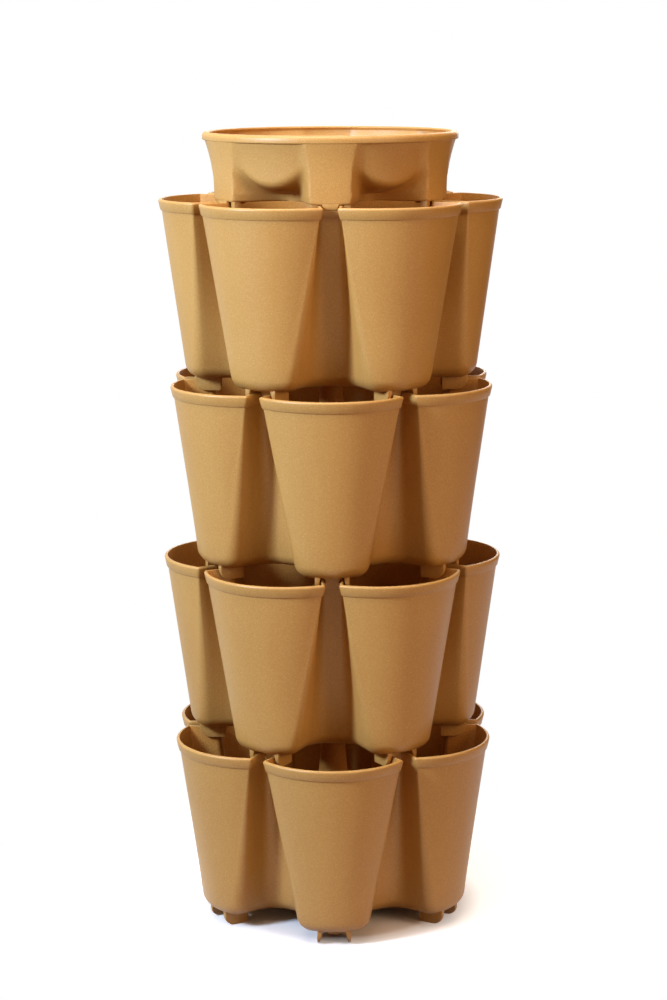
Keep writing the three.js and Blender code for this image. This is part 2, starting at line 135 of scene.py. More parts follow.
# Its flecks and specks: how many lie along a metre, their largest radius as a share of the room
# between them, the random number above which there is one, and how strongly it shows
FLECKS = {"scale": 760.0, "radius": 0.36, "over": 0.5, "share": 0.50}
SPECKS = {"scale": 560.0, "radius": 0.26, "over": 0.7, "share": 0.34}

# Small sizes of the mouldings that follow from no other size, and shares of what they lie on
SMALL_ROUND = 2 * MM
SMALL_CHAMFER = 0.5 * MM
DISK_ROUND = 0.8 * MM
COLUMN_ROOT_ROUND = 5 * MM
BEAD_ROUND = 5.4 * MM
BEAD_START_DEGREES = -60
BAND_STEP = 0.1 * MM
BAND_STEP_SHARE = 0.7
COLUMN_TIP_SHARE = 0.25
VALLEY_ROOM_SHARE = 0.95
RIB_CURVE_SHARE = 3
TAB_ROUND_SHARE = 1.5

# Points that lie closer together than this become one
MERGE_DISTANCE = 0.01 * MM

# How finely the shapes are divided: steps over half a pocket or one rounded edge, levels over a wall's
# height, and last the steps of a full turn, on a disk and on a drilled hole
FRONT_STEPS = 12
CORNER_STEPS = 7
SIDE_STEPS = 4
VALLEY_STEPS = 7
VALLEY_FLOOR_STEPS = 2
WALL_LEVELS = 10
FILLET_STEPS = 6
EDGE_STEPS = 3
LOBE_STEPS = 44
BOWL_LEVELS = 22
SPIN_STEPS = 128
HOLE_STEPS = 32

# An edge that folds by more than this is shaded as a sharp one
SHARP_ANGLE = math.radians(38)

# Shares of the reservoir's height, up to the bead: the skirt and the hollow underside between the
# lobes, how much higher that underside goes beside a lobe, and where the flare under the bead starts
SKIRT_SHARE = 0.13
UNDERSIDE_SHARE = 0.20
UNDERSIDE_RISE = 5.0
BELLY_CURVE = 2.2
FLARE_SHARE = 0.5

# How early a lobe's side turns inwards, where 1 is halfway between its front and the scoop, and how
# much closer together the bowl's rows lie at its foot, where 1 is evenly spaced
LOBE_TURN = 0.6
BOWL_LEVEL_CURVE = 1.6

# Finishes, in the order of a piece's material slots
OUTER = 0
INNER = 1


def length(name, description, default):
    """A size that a user can change."""
    return FloatProperty(name=name, description=description, default=default, min=0.0, unit="LENGTH")


def number(name, description, default):
    """A plain number that a user can change."""
    return FloatProperty(name=name, description=description, default=default)


def power(name, description, default):
    """A light's power that a user can change."""
    return FloatProperty(name=name, description=description, default=default, unit="POWER")


def swatch(name, description, default):
    """A colour that a user can change."""
    return FloatVectorProperty(
        name=name, description=description, default=default, size=3, min=0.0, max=1.0, subtype="COLOR",
    )


class TierSizes(bpy.types.PropertyGroup):
    """Sizes of a planter tier"""

    height: length("Height", "From the feet to the rim", 256.5 * MM)
    wall: length("Wall", "Thickness of the moulded wall", 3 * MM)
    rim_reach: length("Rim reach", "From the axis to a pocket's front at the rim", 227.6 * MM)
    rim_front_radius: length("Rim front radius", "Curve of a pocket's front at the rim", 108.5 * MM)
    rim_mouth: length("Rim mouth", "Half the valley's mouth between two pockets at the rim", 11.2 * MM)
    rim_corner: length("Rim corner", "Rounding of a pocket's corners at the rim", 1.2 * MM)
    rim_valley: length("Rim valley", "From the axis to the valley between pockets, at the rim", 160.2 * MM)
    rim_valley_half: length("Rim valley half width", "Half the valley's width at the rim", 14.3 * MM)
    rim_valley_fillet: length("Rim valley fillet", "Rounding in the valley at the rim", 3.5 * MM)
    base_reach: length("Base reach", "From the axis to a pocket's front at the base", 195 * MM)
    base_front_radius: length("Base front radius", "Curve of a pocket's front at the base", 76 * MM)
    base_mouth: length("Base mouth", "Half the valley's mouth between two pockets at the base", 48.6 * MM)
    base_corner: length("Base corner", "Rounding of a pocket's corners at the base", 20 * MM)
    base_valley: length("Base valley", "From the axis to the valley at the base", 126 * MM)
    base_valley_half: length("Base valley half width", "Half the valley's width at the base", 24 * MM)
    base_valley_fillet: length("Base valley fillet", "Rounding in the valley at the base", 30 * MM)
    edge: length("Base edge", "Rounding of the edge round the base", 16 * MM)
    band_height: length("Band height", "Height of the raised band at the rim", 15 * MM)
    band_out: length("Band stand-out", "How far the band's top stands out of the wall", 2.8 * MM)
    band_low_out: length("Band lower stand-out", "How far the band's bottom stands out", 1.8 * MM)
    rim_inset: length("Rim inset", "From the wall's face in to the inside of the rim", 1.7 * MM)
    rim_round: length("Rim rounding", "Rounding of the rim's outer top edge", 3.4 * MM)
    rim_inner_round: length("Rim inner rounding", "Rounding of the rim's inner top edge", 0.9 * MM)
    notch_half: length("Notch half width", "Half the notch in the valley's wall", 11.5 * MM)
    notch_depth: length("Notch depth", "From the rim down to the notch's floor", 6 * MM)
    hollow_radius: length("Hollow radius", "Hollow under the middle, at its mouth", 103 * MM)
    hollow_top_radius: length("Hollow top radius", "Hollow under the middle, at its top", 98 * MM)
    hollow_height: length("Hollow height", "Depth of the hollow under the middle", 34 * MM)
    column_radius: length("Column radius", "Outside of the watering column at its top", 12.5 * MM)
    column_taper: number("Column taper", "How much the column's radius grows per height", 0.1)
    drain_radius: length("Drain radius", "Drain hole in each pocket", 5 * MM)
    drain_reach: length("Drain reach", "From the axis to a drain hole", 140 * MM)


class FootSizes(bpy.types.PropertyGroup):
    """Sizes of a foot: two ribs that straddle a valley of the tier below, and a tab between them"""

    height: length("Height", "Height of a foot", 18 * MM)
    seat_depth: length("Seat depth", "How far a foot reaches below the rim it stands in", 14 * MM)
    rib_inside: length("Rib inside", "From a foot's middle to a rib, level with the rim", 16.4 * MM)
    root: length("Rib root", "Thickness of a rib where it leaves the base", 7 * MM)
    tip: length("Rib tip", "Thickness of a rib at the ground", 3 * MM)
    inner: length("Inner end", "From the axis to the inner end of a rib", 149 * MM)
    flat: length("Flat length", "Length of a rib's flat end", 20 * MM)
    outer: length("Outer end", "From the axis to the outer end of a rib", 184 * MM)
    tab_inner: length("Tab inner face", "From the axis to the inner face of the tab", 158 * MM)
    tab_thickness: length("Tab thickness", "Thickness of the tab", 7 * MM)
    tab_height: length("Tab height", "Height of the tab", 9.7 * MM)
    tab_half: length("Tab half width", "Half the tab's width, level with the rim", 10.6 * MM)
    tab_draft: number("Tab draft", "How much the tab's half width grows per height", 0.36)
    rounding: length("Rounding", "Rounding of a foot's edges", 0.8 * MM)
    embed: length("Embedding", "How far a foot reaches up into the piece that it carries", 2.9 * MM)


class DiskSizes(bpy.types.PropertyGroup):
    """Sizes of a watering disk"""

    height: length("Height", "Height of the dish", 13 * MM)
    wall: length("Wall", "Thickness of the dish", 2.5 * MM)
    pipe_radius: length("Pipe radius", "Outside of the standpipe and spigot", 9 * MM)
    pipe_wall: length("Pipe wall", "Wall of the standpipe and spigot", 2 * MM)
    pipe_height: length("Pipe height", "How far the standpipe rises above the floor", 6 * MM)
    spigot_length: length("Spigot length", "How far the spigot hangs into the column", 12 * MM)
    drip_radius: length("Drip radius", "Radius of a drip hole", 2 * MM)
    drip_reach: length("Drip reach", "From the axis to a drip hole", 70 * MM)


class ReservoirSizes(bpy.types.PropertyGroup):
    """Sizes of the water reservoir"""

    wall: length("Wall", "Thickness of the moulded wall", 3 * MM)
    foot_height: length("Foot height", "From the feet to the body's base", 15 * MM)
    foot_embed: length("Foot embedding", "How far a foot reaches up into its lobe", 2 * MM)
    bead_height: length("Bead height", "Height of the bead round the rim", 10.7 * MM)
    bead_width: length("Bead width", "Width of the bead round the rim", 8.5 * MM)
    lobe_top: length("Lobe top reach", "From the axis to a lobe's front, under the bead", 166 * MM)
    lobe_bottom: length("Lobe bottom reach", "From the axis to a lobe's front at its foot", 162.8 * MM)
    lobe_top_half: length("Lobe top half width", "Half a lobe's width under the bead", 39 * MM)
    lobe_bottom_half: length("Lobe bottom half width", "Half a lobe's width at its foot", 25.5 * MM)
    scoop_top: length("Scoop top radius", "Wall between the lobes, before the flare", 163.5 * MM)
    scoop_taper: length("Scoop taper", "How far that wall leans in over the body's height", 12 * MM)
    scoop_bottom: length("Scoop bottom radius", "Wall between the lobes, at the base", 98 * MM)
    skirt_spread: length("Skirt spread", "How far the skirt at the base leans out", 3 * MM)
    lobe_soften: length("Lobe softening", "Width over which a lobe's front turns in", 14 * MM)
    lobe_draft: number("Lobe draft", "How far a lobe's side runs out into the scoop, per depth", 1.3)
    flare: length("Flare", "How far the body spreads under the bead", 3.6 * MM)
    edge: length("Base edge", "Rounding of the edge round a lobe's base", 1.8 * MM)
    centre: length("Centre radius", "Raised middle of the floor, at its foot", 60 * MM)
    centre_top: length("Centre top radius", "Raised middle of the floor, at its top", 56 * MM)
    centre_height: length("Centre height", "Height of the raised middle", 20 * MM)
    outlet: length("Outlet radius", "Hole that the water leaves by", 4 * MM)
    rib_root: length("Rib root", "Thickness of a foot's rib where it leaves a lobe", 10 * MM)
    rib_tip: length("Rib tip", "Thickness of a foot's rib at its end", 7 * MM)
    rib_end: length("Rib end", "From the axis to the outer end of a foot's rib", 159 * MM)
    tab_end: length("Tab end", "From the axis to the outer face of the tab", 162.5 * MM)


class PlasticLook(bpy.types.PropertyGroup):
    """Colour and grain of the moulded plastic"""

    colour: swatch("Colour", "Main colour of the plastic", (0.530, 0.279, 0.069))
    warm_colour: swatch("Warm colour", "Colour that the main one drifts towards", (0.490, 0.240, 0.054))
    # Multiplies the inside's colour: partly the smooth finish's own deeper colour, partly painted shade of
    # the shadowed insides of the pockets
    inner_deep_and_shade_tint: swatch(
        "Inner tint", "How much deeper the smooth inside looks than the outside", (0.94, 0.78, 0.64),
    )
    fleck_colour: swatch("Fleck colour", "Colour of the fine pale flecks", (0.720, 0.460, 0.170))
    speck_colour: swatch("Speck colour", "Colour of the fine dark specks", (0.330, 0.150, 0.045))
    outer_roughness: number("Outer roughness", "Roughness of the textured outside", 0.46)
    inner_roughness: number("Inner roughness", "Roughness of the smooth inside", 0.40)
    outer_sheen: number("Outer sheen", "How much the textured outside mirrors", 0.60)
    inner_sheen: number("Inner sheen", "How much the inside mirrors", 0.15)
    grain: number("Grain", "Strength of the mould's fine grain", 0.22)


class StageLook(bpy.types.PropertyGroup):
    """The floor, the lights and the camera"""

    floor_colour: swatch(
        "Floor colour", "Colour of the floor, as the camera sees it", (0.90, 0.87, 0.87),
    )
    floor_lift: number("Floor lift", "How much whiter the camera sees the floor than it is lit", 0.65)
    bounce_colour: swatch(
        "Bounce colour", "Colour of the floor, as it lights the tower", (0.20, 0.12, 0.06),
    )
    key_power: power("Key light", "Power of the main light", 70.0)
    top_power: power("Top light", "Power of the light above", 48.0)
    fill_power: power("Fill light", "Power of the light from the right", 28.0)
    back_power: power("Back light", "Power of the light behind the tower", 24.0)
    screen_colour: swatch(
        "Screen colour", "Colour of the dark screen off to the right", (0.05, 0.03, 0.02),
    )
    sky_strength: number("Sky strength", "Strength of the light from all round", 0.20)
    cool_light: swatch("Cool light", "Colour of the main light", (0.60, 0.77, 1.0))
    top_light: swatch("Top light colour", "Colour of the light above", (1.0, 0.92, 0.82))
    warm_light: swatch(
        "Warm light", "Colour of the sky and of the light from the right", (1.0, 0.68, 0.42),
    )
    focal_length: number("Focal length", "Focal length of the camera in millimetres", 86.38)


class PlanterTower(bpy.types.PropertyGroup):
    """Everything that can be changed about the tower"""

    tier: PointerProperty(type=TierSizes)
    foot: PointerProperty(type=FootSizes)
    disk: PointerProperty(type=DiskSizes)
    reservoir: PointerProperty(type=ReservoirSizes)
    plastic: PointerProperty(type=PlasticLook)
    stage: PointerProperty(type=StageLook)


# Shader maths


class Value:
    """A number's socket in a material, which can be used in sums."""

    def __init__(self, finish, socket):
        self.finish = finish
        self.socket = socket

    def _sum(self, operation, first, second):
        """The result of a Math node on two numbers."""
        node = self.finish.node("ShaderNodeMath", {"operation": operation}, {0: first, 1: second})
        return Value(self.finish, node.outputs[0])

    def __add__(self, other):
        return self._sum("ADD", self, other)

    def __radd__(self, other):
        return self._sum("ADD", other, self)

    def __sub__(self, other):
        return self._sum("SUBTRACT", self, other)

    def __rsub__(self, other):
        return self._sum("SUBTRACT", other, self)

    def __mul__(self, other):
        return self._sum("MULTIPLY", self, other)

    def __rmul__(self, other):
        return self._sum("MULTIPLY", other, self)

    def __gt__(self, other):
        return self._sum("GREATER_THAN", self, other)

    def __lt__(self, other):
        return self._sum("LESS_THAN", self, other)

    def most(self, other):
        """The larger of two numbers."""
        return self._sum("MAXIMUM", self, other)

    def ramp(self, low, high):
        """0 at low and 1 at high, straight between them and level outside."""
        settings = {"clamp": True}
        inputs = {"Value": self, "From Min": low, "From Max": high}
        node = self.finish.node("ShaderNodeMapRange", settings, inputs)
        return Value(self.finish, node.outputs["Result"])


class Finish:
    """The nodes of a material, or of the world."""

    def __init__(self, owner, output):
        owner.use_nodes = True
        self.tree = owner.node_tree
        self.tree.nodes.clear()
        self.output = self.node(output)

    def node(self, kind, settings=None, inputs=None):
        """Adds a node, makes its settings, then fills or links its sockets."""
        node = self.tree.nodes.new(kind)
        for key, value in (settings or {}).items():
            setattr(node, key, value)
        for key, value in (inputs or {}).items():
            self.put(node.inputs[key], value)
        return node

    def put(self, socket, value):
        """Links a socket to another one, or sets its own value."""
        if isinstance(value, Value):
            value = value.socket
        if isinstance(value, bpy.types.NodeSocket):
            self.tree.links.new(value, socket)
        else:
            socket.default_value = value

    def in_view(self):
        """1 where the camera sees this straight, in a mirror or through glass, and 0 for other light."""
        path = self.node("ShaderNodeLightPath")
        seen = Value(self, path.outputs["Is Camera Ray"])
        for ray in ("Is Glossy Ray", "Is Transmission Ray"):
            seen = seen.most(Value(self, path.outputs[ray]))
        return seen

    def place(self):
        """A point's place on the object, which doesn't change when the object moves."""
        return self.node("ShaderNodeTexCoord").outputs["Object"]

    def noise(self, place, scale, detail, roughness):
        """A soft random pattern, from 0 to 1."""
        inputs = {"Vector": place, "Scale": scale, "Detail": detail, "Roughness": roughness}
        return Value(self, self.node("ShaderNodeTexNoise", None, inputs).outputs["Fac"])

    def cells(self, place, scale):
        """The distance to the nearest of many scattered points, and that point's own random number."""
        node = self.node("ShaderNodeTexVoronoi", {"feature": "F1"}, {"Vector": place, "Scale": scale})
        own = self.node("ShaderNodeSeparateColor", None, {"Color": node.outputs["Color"]})
        return Value(self, node.outputs["Distance"]), Value(self, own.outputs[0])

    def blend(self, mask, first, second):
        """A colour between two others."""
        # The colour sockets share their names with others, so they are given by number
        settings = {"data_type": "RGBA", "blend_type": "MIX"}
        node = self.node("ShaderNodeMix", settings, {"Factor": mask})
        self.put(node.inputs[6], first)
        self.put(node.inputs[7], second)
        return node.outputs[2]

    def stretched(self, place, scale):
        """The place with each axis multiplied by a number of its own."""
        inputs = {0: place, 1: scale}
        return self.node("ShaderNodeVectorMath", {"operation": "MULTIPLY"}, inputs).outputs[0]


def opaque(colour):
    """A colour with a full alpha."""
    return (*colour, 1.0)


def tinted(colour, tint):
    """A colour with each part multiplied by a share of its own."""
    return [part * share for part, share in zip(colour, tint)]


def dots(finish, place, pattern):
    """1 inside scattered dots of differing size, and 0 between them."""
    distance, own = finish.cells(place, pattern["scale"])
    return (distance < own * pattern["radius"]) * (own > pattern["over"])


def moulded_plastic(name, look, finish_kind):
    """Ochre moulded plastic with fine pale and dark flecks, drifting tone and the mould's fine grain."""
    if finish_kind == OUTER:
        tint = (1.0, 1.0, 1.0)
        roughness, sheen, grain_strength = look.outer_roughness, look.outer_sheen, look.grain
    else:
        # The inside is a darker, redder copy of the plastic: partly the smooth finish's own colour, partly
        # painted shade of the shadowed pockets
        tint = look.inner_deep_and_shade_tint
        roughness, sheen, grain_strength = look.inner_roughness, look.inner_sheen, look.grain
        grain_strength /= INNER_GRAIN_DIVISOR
    material = bpy.data.materials.new(name)
    finish = Finish(material, "ShaderNodeOutputMaterial")
    place = finish.place()
    drift = finish.noise(place, **DRIFT)
    flow = finish.noise(finish.stretched(place, FLOW_STRETCH), **FLOW)
    tone = (drift * TONE_DRIFT_SHARE + flow * TONE_FLOW_SHARE).ramp(*TONE_RANGE)
    grain = finish.noise(place, **GRAIN)
    mottle = finish.noise(place, **MOTTLE)

    warm, plain = (opaque(tinted(colour, tint)) for colour in (look.warm_colour, look.colour))
    pale, dark = opaque(look.fleck_colour), opaque(look.speck_colour)
    colour = finish.blend(tone, warm, plain)
    colour = finish.blend(mottle.ramp(*MOTTLE_RANGE) * MOTTLE_SHARE, colour, pale)
    colour = finish.blend(dots(finish, place, FLECKS) * FLECKS["share"], colour, pale)
    colour = finish.blend(dots(finish, place, SPECKS) * SPECKS["share"], colour, dark)

    height = grain * BUMP_GRAIN_SHARE + mottle * BUMP_MOTTLE_SHARE
    bump_inputs = {"Strength": grain_strength, "Distance": BUMP_DEPTH, "Height": height}
    bump = finish.node("ShaderNodeBump", None, bump_inputs)
    uneven = (mottle - PATTERN_MIDDLE) * ROUGHNESS_MOTTLE_SHARE
    uneven += (drift - PATTERN_MIDDLE) * ROUGHNESS_DRIFT_SHARE
    inputs = {
        "Base Color": colour,
        "Roughness": roughness + uneven,
        "IOR": PLASTIC_IOR,
        "Specular IOR Level": sheen,
        "Normal": bump.outputs["Normal"],
    }
    shader = finish.node("ShaderNodeBsdfPrincipled", None, inputs)
    finish.put(finish.output.inputs["Surface"], shader.outputs["BSDF"])
    return material


def white_floor(look):
    """A floor that looks white, keeps the tower's shadow, and throws little light back up."""
    material = bpy.data.materials.new("white_floor")
    finish = Finish(material, "ShaderNodeOutputMaterial")
    distance = finish.node("ShaderNodeVectorMath", {"operation": "LENGTH"}, {0: finish.place()})
    reach = Value(finish, distance.outputs["Value"])
    lift = reach.ramp(*FOOT_SHADOW) * look.floor_lift
    lit = finish.node("ShaderNodeBsdfDiffuse", None, {"Color": opaque(look.floor_colour)})
    glow = finish.node("ShaderNodeEmission", None, {"Strength": lift})
    white = finish.node("ShaderNodeEmission")
    near = finish.node("ShaderNodeAddShader", None, {0: lit.outputs[0], 1: glow.outputs[0]})
    far = reach.ramp(*WIDE_SHADOW)
    shown = finish.node("ShaderNodeMixShader", None, {0: far, 1: near.outputs[0], 2: white.outputs[0]})
    bounce = finish.node("ShaderNodeBsdfDiffuse", None, {"Color": opaque(look.bounce_colour)})
    either = {0: finish.in_view(), 1: bounce.outputs[0], 2: shown.outputs[0]}
    finish.put(finish.output.inputs["Surface"], finish.node("ShaderNodeMixShader", None, either).outputs[0])
    return material


# Mesh helpers


def finished_object(name, bm, materials):
    """A smooth-shaded object from a bmesh, with its sharp edges marked."""
    for face in bm.faces:
        face.smooth = True
    for edge in bm.edges:
        edge.smooth = len(edge.link_faces) == 2 and edge.calc_face_angle(0.0) < SHARP_ANGLE
    mesh = bpy.data.meshes.new(name)
    bm.to_mesh(mesh)
    bm.free()
    for material in materials:
        mesh.materials.append(material)
    piece = bpy.data.objects.new(name, mesh)
    bpy.context.scene.collection.objects.link(piece)
    return piece


def solid_object(bm):
    """A plain object from a bmesh, for booleans, which discard throws away."""
    bmesh.ops.recalc_face_normals(bm, faces=bm.faces)
    mesh = bpy.data.meshes.new("solid")
    bm.to_mesh(mesh)
    bm.free()
    piece = bpy.data.objects.new("solid", mesh)
    bpy.context.scene.collection.objects.link(piece)
    return piece


def discard(piece):
    """Throws an object and its mesh away."""
    mesh = piece.data
    bpy.data.objects.remove(piece)
    bpy.data.meshes.remove(mesh)


def combine(piece, other, operation):
    """Cuts another object from a piece, or joins it on, and throws the other one away."""
    modifier = piece.modifiers.new("shape", "BOOLEAN")
    modifier.operation = operation
    modifier.solver = "EXACT"
    modifier.object = other
    depsgraph = bpy.context.evaluated_depsgraph_get()
    result = bpy.data.meshes.new_from_object(piece.evaluated_get(depsgraph))
    piece.modifiers.clear()
    old = piece.data
    piece.data = result
    bpy.data.meshes.remove(old)
    discard(other)


def around_axis(bm, first_angle=0.0):
    """Repeats everything in a bmesh for each pocket."""
    turn = Matrix.Rotation(first_angle, 3, "Z")
    bmesh.ops.rotate(bm, verts=bm.verts, cent=(0, 0, 0), matrix=turn)
    bmesh.ops.spin(
        bm, geom=bm.verts[:] + bm.edges[:] + bm.faces[:], axis=(0, 0, 1), cent=(0, 0, 0),
        angle=(POCKETS - 1) * 2 * HALF_POCKET, steps=POCKETS - 1, use_duplicate=True,
    )


def bridged_sector(rows):
    """Bridges rows of points over half a pocket, then mirrors and repeats them round the axis.

    A row is (points, finish), and the last row joins the first one again.
    """
    bm = bmesh.new()
    chains = []
    for points, finish in rows:
        verts = [bm.verts.new(point) for point in points]
        edges = [bm.edges.new(pair) for pair in zip(verts, verts[1:])]
        chains.append((edges, finish))
    for (lower, _), (upper, finish) in zip(chains, chains[1:] + chains[:1]):
        result = bmesh.ops.bridge_loops(bm, edges=lower + upper)
        for face in result["faces"]:
            face.material_index = finish
    geometry = bm.verts[:] + bm.edges[:] + bm.faces[:]
    bmesh.ops.mirror(bm, geom=geometry, matrix=Matrix.Identity(4), merge_dist=MERGE_DISTANCE, axis="Y")
    around_axis(bm)
    bmesh.ops.remove_doubles(bm, verts=bm.verts, dist=MERGE_DISTANCE)
    bmesh.ops.recalc_face_normals(bm, faces=bm.faces)
    return bm


def box_bmesh(inner, outer, half_width, bottom, top):
    """A block in a pocket's frame."""
    bm = bmesh.new()
    bmesh.ops.create_cube(bm, size=1.0)
    bmesh.ops.scale(bm, vec=(outer - inner, 2 * half_width, top - bottom), verts=bm.verts)
    middle = ((inner + outer) / 2, 0.0, (bottom + top) / 2)
    bmesh.ops.translate(bm, vec=middle, verts=bm.verts)
    return bm


def rod_bmesh(radius, bottom, top, reach):
    """A round cutter with its axis upright, some way out along a pocket."""
    bm = bmesh.new()
    bmesh.ops.create_cone(
        bm, cap_ends=True, segments=HOLE_STEPS, radius1=radius, radius2=radius, depth=top - bottom,
    )
    bmesh.ops.translate(bm, vec=(reach, 0.0, (bottom + top) / 2), verts=bm.verts)
    return bm


def extruded_verts(bm, face):
    """Extrudes a face where it lies, and gives the new points, for the caller to move."""
    grown = bmesh.ops.extrude_face_region(bm, geom=[face])["geom"]
    return [item for item in grown if isinstance(item, bmesh.types.BMVert)]


def round_edges(bm, radius):
    """Rounds every real edge of a solid."""
    bmesh.ops.recalc_face_normals(bm, faces=bm.faces)
    edges = [edge for edge in bm.edges if edge.calc_face_angle(0.0) > SHARP_ANGLE]
    bmesh.ops.bevel(
        bm, geom=edges, offset=radius, affect="EDGES", segments=EDGE_STEPS, profile=0.5, material=-1,
        clamp_overlap=True,
    )


def append_bmesh(whole, extra):
    """Adds a second bmesh to the first, and frees the second."""
    mesh = bpy.data.meshes.new("joined")
    extra.to_mesh(mesh)
    extra.free()
    whole.from_mesh(mesh)
    bpy.data.meshes.remove(mesh)


def edge_arc(centre, radius, start, end, steps=EDGE_STEPS):
    """Points (r, z) of a rounded edge about its centre, from one angle to another in degrees."""
    points = []
    for i in range(steps + 1):
        angle = math.radians(start + (end - start) * i / steps)
        points.append((centre[0] + radius * math.cos(angle), centre[1] + radius * math.sin(angle)))
    return points


class Rows:
    """Rows of points over half a pocket, each with the finish of the surface that leads up to it."""

    def __init__(self, angles):
        self.angles = angles
        self.rows = []

    def add(self, points, finish):
        """A row of any shape."""
        self.rows.append((points, finish))

    def ring(self, radius, z, finish):
        """A circle round the axis."""
        ring = [Vector((radius * math.cos(angle), radius * math.sin(angle), z)) for angle in self.angles]
        self.add(ring, finish)

    def rounded(self, centre, radius, start, end, finish, steps=EDGE_STEPS):
        """Circles that follow a rounded edge."""
        for r, z in edge_arc(centre, radius, start, end, steps):
            self.ring(r, z, finish)


# The tier's outline


def arc_points(centre, start, end, steps):
    """Points of the short arc about a centre from one point to another."""
    from_angle = math.atan2(start.y - centre.y, start.x - centre.x)
    to_angle = math.atan2(end.y - centre.y, end.x - centre.x)
    turn = (to_angle - from_angle + math.pi) % (2 * math.pi) - math.pi
    radius = (start - centre).length
    points = []
    for i in range(steps + 1):
        angle = from_angle + turn * i / steps
        points.append(centre + radius * Vector((math.cos(angle), math.sin(angle))))
    return points


def section_at(tier, share):
    """The sizes of the outline at a share of the way from the base to the rim."""
    keys = ("reach", "front_radius", "mouth", "corner", "valley", "valley_half", "valley_fillet")
    section = {}
    for key in keys:
        base = getattr(tier, "base_" + key)
        rim = getattr(tier, "rim_" + key)
        section[key] = base + (rim - base) * share
    return section


def half_outline(tier, share, outward):
    """Half a pocket's outline, from the middle of its front to the middle of the valley beside it."""
    section = section_at(tier, share)
    centre = Vector((section["reach"] - section["front_radius"], 0.0))
    radial = Vector((math.cos(HALF_POCKET), math.sin(HALF_POCKET)))
    across = Vector((radial.y, -radial.x))
    beside = centre.dot(across) - section["mouth"]
    along = centre.dot(radial) + math.sqrt(section["front_radius"] ** 2 - beside ** 2)
    corner = radial * along + across * section["mouth"]
    valley = radial * section["valley"] + across * section["valley_half"]
    side = (valley - corner).normalized()
    out = Vector((-side.y, side.x))
    if out.y < 0:
        out.negate()
    side_point = corner + out * outward
    valley_reach = section["valley"] + outward
    valley_corner = side_point + side * (valley_reach - side_point.dot(radial)) / side.dot(radial)
    valley_middle = radial * valley_reach

    front_radius = section["front_radius"] + outward
    fillet = max(section["corner"] + outward, tier.wall / 2)
    line = side_point - out * fillet
    offset = line - centre
    half = offset.dot(side)
    root = math.sqrt(max(0.0, half * half - offset.length_squared + (front_radius - fillet) ** 2))
    step = min((root - half, -root - half), key=abs)
    fillet_centre = line + side * step
    front_end = centre + (fillet_centre - centre).normalized() * front_radius
    side_start = fillet_centre + out * fillet

    back = side_start - valley_corner
    inward = valley_middle - valley_corner
    room = min(back.length, inward.length) * VALLEY_ROOM_SHARE
    back.normalize()
    inward.normalize()
    half_angle = math.acos(max(-1.0, min(1.0, back.dot(inward)))) / 2
    wanted = max(section["valley_fillet"] - outward, tier.wall / 2) / math.tan(half_angle)
    tangent = min(wanted, room)
    bisector = (back + inward).normalized()
    valley_centre = valley_corner + bisector * (tangent / math.cos(half_angle))
    side_end = valley_corner + back * tangent
    floor_start = valley_corner + inward * tangent

    front_middle = Vector((centre.x + front_radius, 0.0))
    points = arc_points(centre, front_middle, front_end, FRONT_STEPS)[:-1]
    points += arc_points(fillet_centre, front_end, side_start, CORNER_STEPS)
    points += [side_start.lerp(side_end, i / SIDE_STEPS) for i in range(1, SIDE_STEPS)]
    points += arc_points(valley_centre, side_end, floor_start, VALLEY_STEPS)
    points += [
        floor_start.lerp(valley_middle, i / VALLEY_FLOOR_STEPS) for i in range(1, VALLEY_FLOOR_STEPS + 1)
    ]
    return points


class Wall:
    """The wall round a tier's pockets, which stands on the feet."""

    def __init__(self, tier, foot):
        self.tier = tier
        self.foot_height = foot.height

    def row(self, z, outward):
        """The wall's outline at a height, moved outwards, as points in space."""
        share = (z - self.foot_height) / (self.tier.height - self.foot_height)
        return [Vector((point.x, point.y, z)) for point in half_outline(self.tier, share, outward)]

    def follow(self, rows, arc, finish):
        """Adds the rows that lie along points (distance outwards, z)."""
        for outward, z in arc:
            rows.add(self.row(z, outward), finish)


def add_between(rows, first, last, finish):
    """Adds evenly spaced rows that lead from one row, which is there already, to another."""
    for i in range(1, WALL_LEVELS + 1):
        rows.add([start.lerp(end, i / WALL_LEVELS) for start, end in zip(first, last)], finish)


# Pieces


def foot_rib(foot, root, tip, outer, top, sense):
    """One tapered rib of a foot, on one side of the pocket's middle."""
    draft = (root - tip) / foot.height
    outside = foot.rib_inside + draft * (foot.seat_depth - foot.height) + root
    flat_end = min(foot.inner + foot.flat, outer - foot.rounding * RIB_CURVE_SHARE)
    side = [(foot.inner, top), (foot.inner, 0.0)]
    for i in range(FILLET_STEPS + 1):
        angle = math.pi / 2 * i / FILLET_STEPS
        rise = foot.seat_depth * (1 - math.cos(angle))
        side.append((flat_end + (outer - flat_end) * math.sin(angle), rise))
    side.append((outer, top))
    bm = bmesh.new()
    face = bm.faces.new([bm.verts.new((x, outside * sense, z)) for x, z in side])
    for vert in extruded_verts(bm, face):
        vert.co.y = (foot.rib_inside + draft * (foot.seat_depth - vert.co.z)) * sense
    round_edges(bm, foot.rounding)
    return bm


def foot_tab(foot, outer, top):
    """The tab between a foot's ribs."""
    bottom = foot.height - foot.tab_height
    outline = [(foot.tab_half + foot.tab_draft * (z - foot.seat_depth), z) for z in (bottom, top)]
    outline += [(-y, z) for y, z in reversed(outline)]
    bm = bmesh.new()
    face = bm.faces.new([bm.verts.new((foot.tab_inner, y, z)) for y, z in outline])
    bmesh.ops.translate(bm, vec=(outer - foot.tab_inner, 0.0, 0.0), verts=extruded_verts(bm, face))
    round_edges(bm, foot.rounding * TAB_ROUND_SHARE)
    return bm


def feet_bmesh(foot, root, tip, rib_outer, tab_outer, top):
    """A foot of two ribs and a tab for each pocket, up to a height inside the body."""
    whole = bmesh.new()
    for sense in (1, -1):
        append_bmesh(whole, foot_rib(foot, root, tip, rib_outer, top, sense))
    append_bmesh(whole, foot_tab(foot, tab_outer, top))
    around_axis(whole)
    return whole


